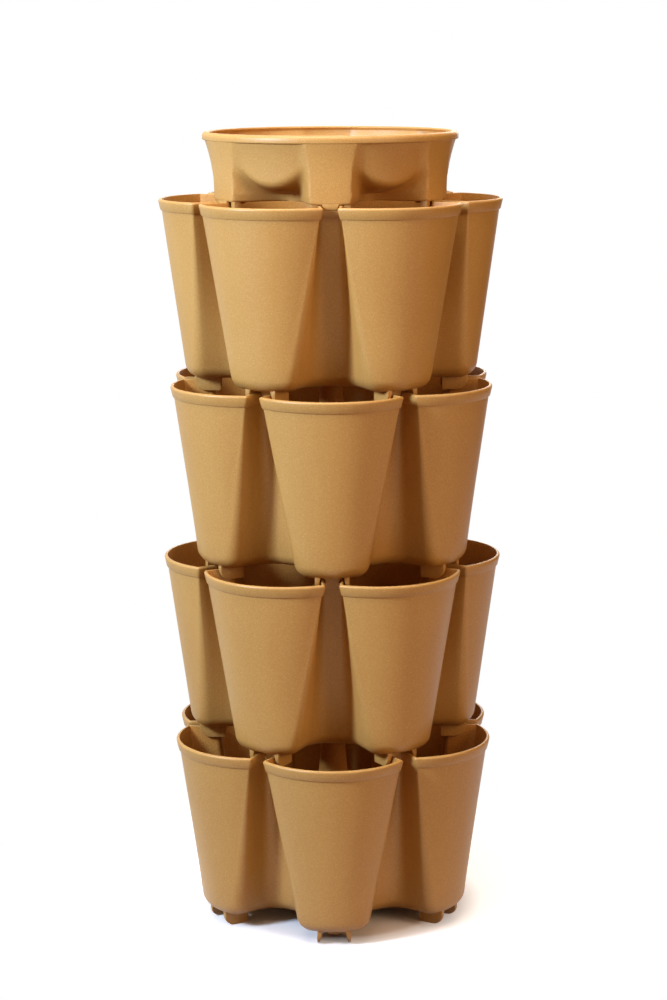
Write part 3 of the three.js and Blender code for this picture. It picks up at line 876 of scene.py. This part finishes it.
def tier_rows(tier, foot):
    """Every row of a tier's surface: up the outside, over the rim, down the inside and up the column."""
    wall = Wall(tier, foot)
    base = wall.row(foot.height, -tier.edge)
    rows = Rows([math.atan2(point.y, point.x) for point in base])
    hollow_top = foot.height + tier.hollow_height
    add_tier_underside(rows, tier, foot.height, hollow_top)
    add_tier_outside(rows, tier, foot.height, wall)
    add_tier_inside(rows, tier, foot.height, wall)
    add_tier_column(rows, tier, hollow_top + tier.wall)
    return rows.rows


def add_tier_underside(rows, tier, ground, hollow_top):
    """Adds the column's bore and the hollow under the middle, from the top down."""
    bore_top = tier.column_radius - tier.wall
    grown = tier.column_taper * (COLUMN_TOP - hollow_top - SMALL_ROUND)
    rows.ring(bore_top, COLUMN_TOP - tier.wall * COLUMN_TIP_SHARE, INNER)
    rows.ring(bore_top + grown, hollow_top + SMALL_ROUND, INNER)
    grown = tier.column_taper * (COLUMN_TOP - hollow_top)
    rows.ring(bore_top + grown + SMALL_ROUND, hollow_top, INNER)
    top_centre = (tier.hollow_top_radius - SMALL_ROUND, hollow_top - SMALL_ROUND)
    rows.rounded(top_centre, SMALL_ROUND, 90, 0, OUTER)
    mouth_centre = (tier.hollow_radius + SMALL_ROUND, ground + SMALL_ROUND)
    rows.rounded(mouth_centre, SMALL_ROUND, 180, 270, OUTER)


def add_tier_outside(rows, tier, ground, wall):
    """Adds the edge round the base, the wall, the band and the rim, from the bottom up."""
    edge = tier.edge
    wall.follow(rows, edge_arc((-edge, ground + edge), edge, -90, 0, FILLET_STEPS), OUTER)
    band_bottom = tier.height - tier.band_height
    add_between(rows, wall.row(ground + edge, 0.0), wall.row(band_bottom, 0.0), OUTER)
    low_out = tier.band_low_out
    step = (low_out * BAND_STEP_SHARE, band_bottom + BAND_STEP)
    wall.follow(rows, [step, (low_out, band_bottom + low_out / 2)], OUTER)
    rim_centre = (tier.band_out - tier.rim_round, tier.height - tier.rim_round)
    wall.follow(rows, edge_arc(rim_centre, tier.rim_round, 0, 90, FILLET_STEPS), OUTER)
    inner_round = tier.rim_inner_round
    inner_centre = (inner_round - tier.rim_inset, tier.height - inner_round)
    wall.follow(rows, edge_arc(inner_centre, inner_round, 90, 180), OUTER)


def add_tier_inside(rows, tier, ground, wall):
    """Adds the inside of the wall and the edge of the floor, from the rim down."""
    edge = tier.edge - tier.wall
    bottom = ground + tier.wall + edge
    high = wall.row(tier.height - tier.rim_inner_round, -tier.rim_inset)
    add_between(rows, high, wall.row(bottom, -tier.wall), INNER)
    wall.follow(rows, edge_arc((-tier.wall - edge, bottom), edge, 0, -90, FILLET_STEPS)[1:], INNER)


def add_tier_column(rows, tier, top):
    """Adds the raised middle of the floor, up to its top, and then the column on it."""
    floor = top - tier.hollow_height
    foot_centre = (tier.hollow_radius + tier.wall + SMALL_ROUND, floor + SMALL_ROUND)
    rows.rounded(foot_centre, SMALL_ROUND, 270, 180, INNER)
    top_centre = (tier.hollow_top_radius + tier.wall - SMALL_ROUND, top - SMALL_ROUND)
    rows.rounded(top_centre, SMALL_ROUND, 0, 90, INNER)
    root = COLUMN_ROOT_ROUND
    column_foot = tier.column_radius + tier.column_taper * (COLUMN_TOP - top)
    rows.rounded((column_foot + root, top + root), root, 270, 180, INNER, FILLET_STEPS)
    for i in range(1, WALL_LEVELS):
        z = top + root + (COLUMN_TOP - top - root) * i / WALL_LEVELS
        rows.ring(tier.column_radius + tier.column_taper * (COLUMN_TOP - z), z, INNER)
    tip = tier.wall * COLUMN_TIP_SHARE
    rows.rounded((tier.column_radius - tip, COLUMN_TOP - tip), tip, 0, 90, INNER)
    rows.ring(tier.column_radius - tier.wall + tip, COLUMN_TOP, INNER)


def tier_mesh(tier, foot):
    """One planter tier, standing at height zero with its first pocket along +X."""
    shell = solid_object(bridged_sector(tier_rows(tier, foot)))
    notch_inner = tier.rim_valley - tier.wall * 2
    notch_outer = tier.rim_valley + tier.band_out + tier.wall / 4
    notch_bottom = tier.height - tier.notch_depth
    notches = box_bmesh(notch_inner, notch_outer, tier.notch_half, notch_bottom, tier.height + tier.wall)
    around_axis(notches, HALF_POCKET)
    combine(shell, solid_object(notches), "DIFFERENCE")
    tab_outer = foot.tab_inner + foot.tab_thickness
    feet_top = foot.height + foot.embed
    feet = feet_bmesh(foot, foot.root, foot.tip, foot.outer, tab_outer, feet_top)
    combine(shell, solid_object(feet), "UNION")
    floor_top = foot.height + tier.wall * 2
    drains = rod_bmesh(tier.drain_radius, foot.height - tier.wall, floor_top, tier.drain_reach)
    around_axis(drains)
    combine(shell, solid_object(drains), "DIFFERENCE")
    return shell


def placed_copy(name, shape, materials, turn, height):
    """A copy of a finished shape, turned and lifted into its place in its own mesh."""
    bm = bmesh.new()
    bm.from_mesh(shape.data)
    bmesh.ops.rotate(bm, verts=bm.verts, cent=(0, 0, 0), matrix=Matrix.Rotation(turn, 3, "Z"))
    bmesh.ops.translate(bm, vec=(0.0, 0.0, height), verts=bm.verts)
    return finished_object(name, bm, materials)


def fit_out(piece, node):
    """Puts a piece in the place of its CAD node."""
    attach(piece, NODE_BODY[node])
    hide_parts(node)


def disk_profile(disk):
    """Points (r, z) round the section of a disk: up the bore, over the dish and back under it."""
    edge = DISK_ROUND
    wide = edge * 3
    wider = edge * 4
    pipe = disk.pipe_radius
    bore = pipe - disk.pipe_wall
    pipe_top = disk.wall + disk.pipe_height
    spigot_end = -disk.spigot_length
    inside = DISK_RADIUS - disk.wall
    profile = [(bore, spigot_end + edge / 2), (bore, pipe_top - edge)]
    profile += edge_arc((bore + edge, pipe_top - edge), edge, 180, 90)
    profile += edge_arc((pipe - edge, pipe_top - edge), edge, 90, 0)
    profile += edge_arc((pipe + edge, disk.wall + edge), edge, 180, 270)
    profile += edge_arc((inside - wide, disk.wall + wide), wide, 270, 360, FILLET_STEPS)
    profile += edge_arc((inside + edge, disk.height - edge), edge, 180, 90)
    profile += edge_arc((DISK_RADIUS - edge, disk.height - edge), edge, 90, 0)
    profile += edge_arc((DISK_RADIUS - wider, wider), wider, 0, -90, FILLET_STEPS)
    profile += edge_arc((pipe + edge, -edge), edge, 90, 180)
    profile += edge_arc((pipe - edge, spigot_end + edge), edge, 0, -90)
    profile.append((bore + edge / 2, spigot_end))
    return profile


def disk_mesh(disk):
    """One watering disk, with the underside of its floor at height zero."""
    bm = bmesh.new()
    verts = [bm.verts.new((r, 0.0, z)) for r, z in disk_profile(disk)]
    edges = [bm.edges.new(pair) for pair in zip(verts, verts[1:] + verts[:1])]
    bmesh.ops.spin(
        bm, geom=verts + edges, axis=(0, 0, 1), cent=(0, 0, 0), angle=2 * math.pi, steps=SPIN_STEPS,
        use_merge=True,
    )
    bmesh.ops.remove_doubles(bm, verts=bm.verts, dist=MERGE_DISTANCE)
    dish = solid_object(bm)
    drips = rod_bmesh(disk.drip_radius, -disk.wall, disk.wall * 2, disk.drip_reach)
    around_axis(drips)
    combine(dish, solid_object(drips), "DIFFERENCE")
    return dish


def scoop_radius(bowl, share, beside):
    """From the axis to the wall between the lobes, at a share of the body's height.

    It has a skirt at the base that leans out a little, then a hollow underside that turns up into a
    round belly. The belly hangs lowest in the middle of a scoop, where beside is 0, and beside is 1 in
    a lobe's middle.
    """
    skirt = bowl.scoop_bottom + bowl.skirt_spread * min(share / SKIRT_SHARE, 1.0)
    belly = bowl.scoop_top - bowl.scoop_taper * (1 - share)
    underside = UNDERSIDE_SHARE * (1 + UNDERSIDE_RISE * beside ** 2)
    rise = min(max((share - SKIRT_SHARE) / underside, 0.0), 1.0)
    return belly - (belly - skirt) * (1 - rise) ** BELLY_CURVE


def bowl_row(bowl, share, z, inset, edge):
    """The reservoir's outline at a share of its body's height."""
    flare = bowl.flare * max((share - FLARE_SHARE) / (1 - FLARE_SHARE), 0.0) ** 2
    reach = bowl.lobe_bottom + (bowl.lobe_top - bowl.lobe_bottom) * share + flare - inset - edge
    half_width = bowl.lobe_bottom_half + (bowl.lobe_top_half - bowl.lobe_bottom_half) * share - inset - edge
    row = []
    for i in range(LOBE_STEPS + 1):
        angle = HALF_POCKET * i / LOBE_STEPS
        scoop = min(scoop_radius(bowl, share, 1 - i / LOBE_STEPS) + flare - inset, reach)
        middle = math.asin(half_width * 2 / (reach + scoop))
        start = middle - bowl.lobe_soften / (2 * reach)
        end = middle + (bowl.lobe_soften + bowl.lobe_draft * (reach - scoop)) / (2 * reach)
        turn = min(max((angle - start) / (end - start), 0.0), 1.0)
        radius = reach + (scoop - reach) * (1 - math.cos(math.pi * turn ** LOBE_TURN)) / 2
        row.append(Vector((radius * math.cos(angle), radius * math.sin(angle), z)))
    return row


def bowl_levels(bowl, body):
    """For each row of the body: its share of the height, its height, and how far its edge is rounded in."""
    levels = []
    for i in range(BOWL_LEVELS + 1):
        share = (i / BOWL_LEVELS) ** BOWL_LEVEL_CURVE
        height = body * share
        below = max(bowl.edge - height, 0.0)
        edge = bowl.edge - math.sqrt(max(bowl.edge ** 2 - below ** 2, 0.0))
        levels.append((share, height, edge))
    return levels


def reservoir_rows(bowl, disk):
    """Every row of the reservoir's surface, from its outlet round the outside and back over the floor."""
    ground = bowl.foot_height
    bead_bottom = RESERVOIR_HEIGHT - bowl.bead_height
    levels = bowl_levels(bowl, bead_bottom - ground)
    rows = Rows([HALF_POCKET * i / LOBE_STEPS for i in range(LOBE_STEPS + 1)])
    add_reservoir_underside(rows, bowl, disk)
    for share, height, edge in levels:
        rows.add(bowl_row(bowl, share, ground + height, 0.0, edge), OUTER)
    add_bead(rows, bowl, bead_bottom)
    body = bead_bottom - ground
    inside = body + bowl.bead_height / 2 - bowl.wall
    for share, height, edge in reversed(levels):
        z = ground + bowl.wall + height * inside / body
        rows.add(bowl_row(bowl, share, z, bowl.wall, edge), INNER)
    add_reservoir_floor(rows, bowl)
    return rows.rows


def add_reservoir_underside(rows, bowl, disk):
    """Adds the outlet, the spigot and the hollow under the raised middle."""
    top = bowl.foot_height + bowl.centre_height
    spigot_end = COLUMN_TOP - TIER_PITCH - disk.spigot_length
    pipe = disk.pipe_radius
    bore = pipe - disk.pipe_wall
    rows.ring(bowl.outlet, top + bowl.wall - SMALL_CHAMFER, INNER)
    rows.ring(bowl.outlet, top, INNER)
    rows.ring(bore, top, INNER)
    rows.ring(bore, spigot_end + SMALL_CHAMFER, OUTER)
    rows.ring(bore + SMALL_CHAMFER, spigot_end, OUTER)
    rows.ring(pipe - SMALL_CHAMFER, spigot_end, OUTER)
    rows.ring(pipe, spigot_end + SMALL_CHAMFER, OUTER)
    rows.rounded((pipe + SMALL_ROUND, top - SMALL_ROUND), SMALL_ROUND, 180, 90, OUTER)
    rows.rounded((bowl.centre_top - SMALL_ROUND, top - SMALL_ROUND), SMALL_ROUND, 90, 0, OUTER)
    mouth_centre = (bowl.centre + SMALL_ROUND, bowl.foot_height + SMALL_ROUND)
    rows.rounded(mouth_centre, SMALL_ROUND, 180, 270, OUTER)


def add_bead(rows, bowl, bottom):
    """Adds the round bead at the reservoir's rim."""
    outer = RESERVOIR_RADIUS
    inner = outer - bowl.bead_width
    top = RESERVOIR_HEIGHT
    under_centre = (outer - SMALL_ROUND, bottom + SMALL_ROUND)
    rows.rounded(under_centre, SMALL_ROUND, BEAD_START_DEGREES, 0, OUTER)
    rows.rounded((outer - BEAD_ROUND, top - BEAD_ROUND), BEAD_ROUND, 0, 90, OUTER, FILLET_STEPS)
    rows.rounded((inner + SMALL_ROUND, top - SMALL_ROUND), SMALL_ROUND, 90, 180, OUTER)


def add_reservoir_floor(rows, bowl):
    """Adds the raised middle of the bowl's floor, up to the outlet."""
    floor = bowl.foot_height + bowl.wall
    top = floor + bowl.centre_height
    foot_centre = (bowl.centre + bowl.wall + SMALL_ROUND, floor + SMALL_ROUND)
    rows.rounded(foot_centre, SMALL_ROUND, 270, 180, INNER)
    top_centre = (bowl.centre_top + bowl.wall - SMALL_ROUND, top - SMALL_ROUND)
    rows.rounded(top_centre, SMALL_ROUND, 0, 90, INNER)
    rows.ring(bowl.outlet + SMALL_CHAMFER, top, INNER)


def reservoir_mesh(bowl, foot, disk):
    """The water reservoir, standing at height zero with its first lobe along +X."""
    shell = solid_object(bridged_sector(reservoir_rows(bowl, disk)))
    feet_top = bowl.foot_height + bowl.foot_embed
    feet = feet_bmesh(foot, bowl.rib_root, bowl.rib_tip, bowl.rib_end, bowl.tab_end, feet_top)
    combine(shell, solid_object(feet), "UNION")
    return shell


# The stage


def build_floor(look):
    """A wide flat floor."""
    bm = bmesh.new()
    bmesh.ops.create_grid(bm, x_segments=1, y_segments=1, size=FLOOR_HALF)
    finished_object("studio_floor", bm, (white_floor(look),))


def build_screen(look):
    """A dark upright screen out of view, so that the tower's right side mirrors little white."""
    dark = bpy.data.materials.new("screen_dark")
    finish = Finish(dark, "ShaderNodeOutputMaterial")
    matt = finish.node("ShaderNodeBsdfDiffuse", None, {"Color": opaque(look.screen_colour)})
    finish.put(finish.output.inputs["Surface"], matt.outputs[0])
    turn = TOWARDS_VIEWER + math.radians(SCREEN_AZIMUTH)
    outer = SCREEN_DISTANCE + SCREEN_THICKNESS
    bm = box_bmesh(SCREEN_DISTANCE, outer, SCREEN_WIDTH / 2, 0.0, SCREEN_HEIGHT)
    bmesh.ops.rotate(bm, verts=bm.verts, cent=(0, 0, 0), matrix=Matrix.Rotation(turn, 3, "Z"))
    screen = finished_object("studio_screen", bm, (dark,))
    screen.visible_camera = False


def area_light(name, energy, colour, size, azimuth, distance, height):
    """A soft light turned towards the tower, placed by its angle from the viewer's side."""
    data = bpy.data.lights.new(name, "AREA")
    data.energy = energy
    data.color = colour
    data.shape = "RECTANGLE"
    data.size = size[0]
    data.size_y = size[1]
    light = bpy.data.objects.new(name, data)
    turn = TOWARDS_VIEWER + math.radians(azimuth)
    light.location = (distance * math.cos(turn), distance * math.sin(turn), height)
    target = Vector((0.0, 0.0, TOWER_MIDDLE))
    light.rotation_euler = (target - light.location).to_track_quat("-Z", "Y").to_euler()
    bpy.context.scene.collection.objects.link(light)
    return light


def build_lights(look):
    """A small main light from the left front, one above, a warm fill from the right and one behind."""
    area_light("key_light", look.key_power, look.cool_light, **KEY_LIGHT)
    area_light("top_light", look.top_power, look.top_light, **TOP_LIGHT)
    area_light("fill_light", look.fill_power, look.warm_light, **FILL_LIGHT)
    back = area_light("back_light", look.back_power, look.top_light, **BACK_LIGHT)
    back.visible_camera = False


def build_sky(look):
    """Surroundings that the camera sees white, and that light the tower less and warmer than that."""
    world = bpy.data.worlds.new("studio_sky")
    bpy.context.scene.world = world
    finish = Finish(world, "ShaderNodeOutputWorld")
    seen = finish.in_view()
    warm = tinted(look.warm_light, [look.sky_strength] * 3)
    shade = finish.blend(seen, opaque(warm), (1.0, 1.0, 1.0, 1.0))
    background = finish.node("ShaderNodeBackground", None, {"Color": shade})
    finish.put(finish.output.inputs["Surface"], background.outputs[0])


def build_camera(look):
    """The camera at the photograph's place and angle."""
    data = bpy.data.cameras.new("camera")
    data.lens = look.focal_length
    data.sensor_width = SENSOR_WIDTH
    camera = bpy.data.objects.new("camera", data)
    place = Matrix.Translation(CAMERA_PLACE)
    turn = Matrix.Rotation(CAMERA_TURN, 4, "Z")
    tilt = Matrix.Rotation(math.pi / 2 - CAMERA_TILT_DOWN, 4, "X")
    roll = Matrix.Rotation(CAMERA_ROLL, 4, "Z")
    camera.matrix_world = place @ turn @ tilt @ roll
    bpy.context.scene.collection.objects.link(camera)
    bpy.context.scene.camera = camera


# Operators


class PLANTER_OT_tiers(bpy.types.Operator):
    """Builds the planter tiers"""

    bl_idname = "planter.tiers"
    bl_label = "Planter tiers"

    def execute(self, context):
        tower = context.scene.planter_tower
        outer = moulded_plastic("tier_plastic_outside", tower.plastic, OUTER)
        # The inside material is the darker copy, which paints shade into the pockets' insides besides their
        # smoother finish
        inner = moulded_plastic("tier_plastic_inside_deep_and_shaded", tower.plastic, INNER)
        shape = tier_mesh(tower.tier, tower.foot)
        for level, node in enumerate(TIER_NODES):
            turn = TOWARDS_VIEWER + (level % 2) * HALF_POCKET
            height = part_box(node)[0].z
            piece = placed_copy(f"tier_{level + 1}_moulding", shape, (outer, inner), turn, height)
            fit_out(piece, node)
        discard(shape)
        return {"FINISHED"}


class PLANTER_OT_disks(bpy.types.Operator):
    """Builds the watering disks"""

    bl_idname = "planter.disks"
    bl_label = "Watering disks"

    def execute(self, context):
        tower = context.scene.planter_tower
        # The disks take the darker inside copy too, so their colour is partly painted shade
        plastic = moulded_plastic("disk_plastic", tower.plastic, INNER)
        shape = disk_mesh(tower.disk)
        for level, node in enumerate(DISK_NODES):
            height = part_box(node)[1].z - tower.disk.height
            piece = placed_copy(f"disk_{level + 1}_moulding", shape, (plastic,), TOWARDS_VIEWER, height)
            fit_out(piece, node)
        discard(shape)
        return {"FINISHED"}


class PLANTER_OT_reservoir(bpy.types.Operator):
    """Builds the water reservoir"""

    bl_idname = "planter.reservoir"
    bl_label = "Water reservoir"

    def execute(self, context):
        tower = context.scene.planter_tower
        plastic = moulded_plastic("reservoir_plastic", tower.plastic, OUTER)
        shape = reservoir_mesh(tower.reservoir, tower.foot, tower.disk)
        turn = TOWARDS_VIEWER + (len(TIER_NODES) % 2) * HALF_POCKET
        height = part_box(RESERVOIR_NODE)[0].z
        # The bowl is the same plastic inside and out, so both of its finishes are the one material
        piece = placed_copy("reservoir_moulding", shape, (plastic, plastic), turn, height)
        fit_out(piece, RESERVOIR_NODE)
        discard(shape)
        return {"FINISHED"}


class PLANTER_OT_stage(bpy.types.Operator):
    """Builds the floor, the lights and the camera"""

    bl_idname = "planter.stage"
    bl_label = "Stage"

    def execute(self, context):
        look = context.scene.planter_tower.stage
        build_floor(look)
        build_screen(look)
        build_lights(look)
        build_sky(look)
        build_camera(look)
        context.scene.view_settings.view_transform = "Standard"
        return {"FINISHED"}


class PLANTER_PT_panel(bpy.types.Panel):
    """Lists the stage and the tower's pieces in the sidebar"""

    bl_idname = "PLANTER_PT_panel"
    bl_label = "Planter tower"
    bl_space_type = "VIEW_3D"
    bl_region_type = "UI"
    bl_category = "Planter"

    def draw(self, context):
        column = self.layout.column()
        for operator in OPERATORS:
            column.operator(operator.bl_idname)


OPERATORS = (PLANTER_OT_stage, PLANTER_OT_tiers, PLANTER_OT_disks, PLANTER_OT_reservoir)
SIZE_GROUPS = (TierSizes, FootSizes, DiskSizes, ReservoirSizes, PlasticLook, StageLook, PlanterTower)


def register():
    """Makes the sizes, the operators and the panel known."""
    for group in SIZE_GROUPS + OPERATORS + (PLANTER_PT_panel,):
        bpy.utils.register_class(group)
    bpy.types.Scene.planter_tower = PointerProperty(type=PlanterTower)


def unregister():
    """Takes them away again."""
    del bpy.types.Scene.planter_tower
    for group in reversed(SIZE_GROUPS + OPERATORS + (PLANTER_PT_panel,)):
        bpy.utils.unregister_class(group)


def main():
    """Builds everything."""
    register()
    bpy.ops.planter.stage()
    bpy.ops.planter.tiers()
    bpy.ops.planter.disks()
    bpy.ops.planter.reservoir()


if __name__ == "__main__":
    main()
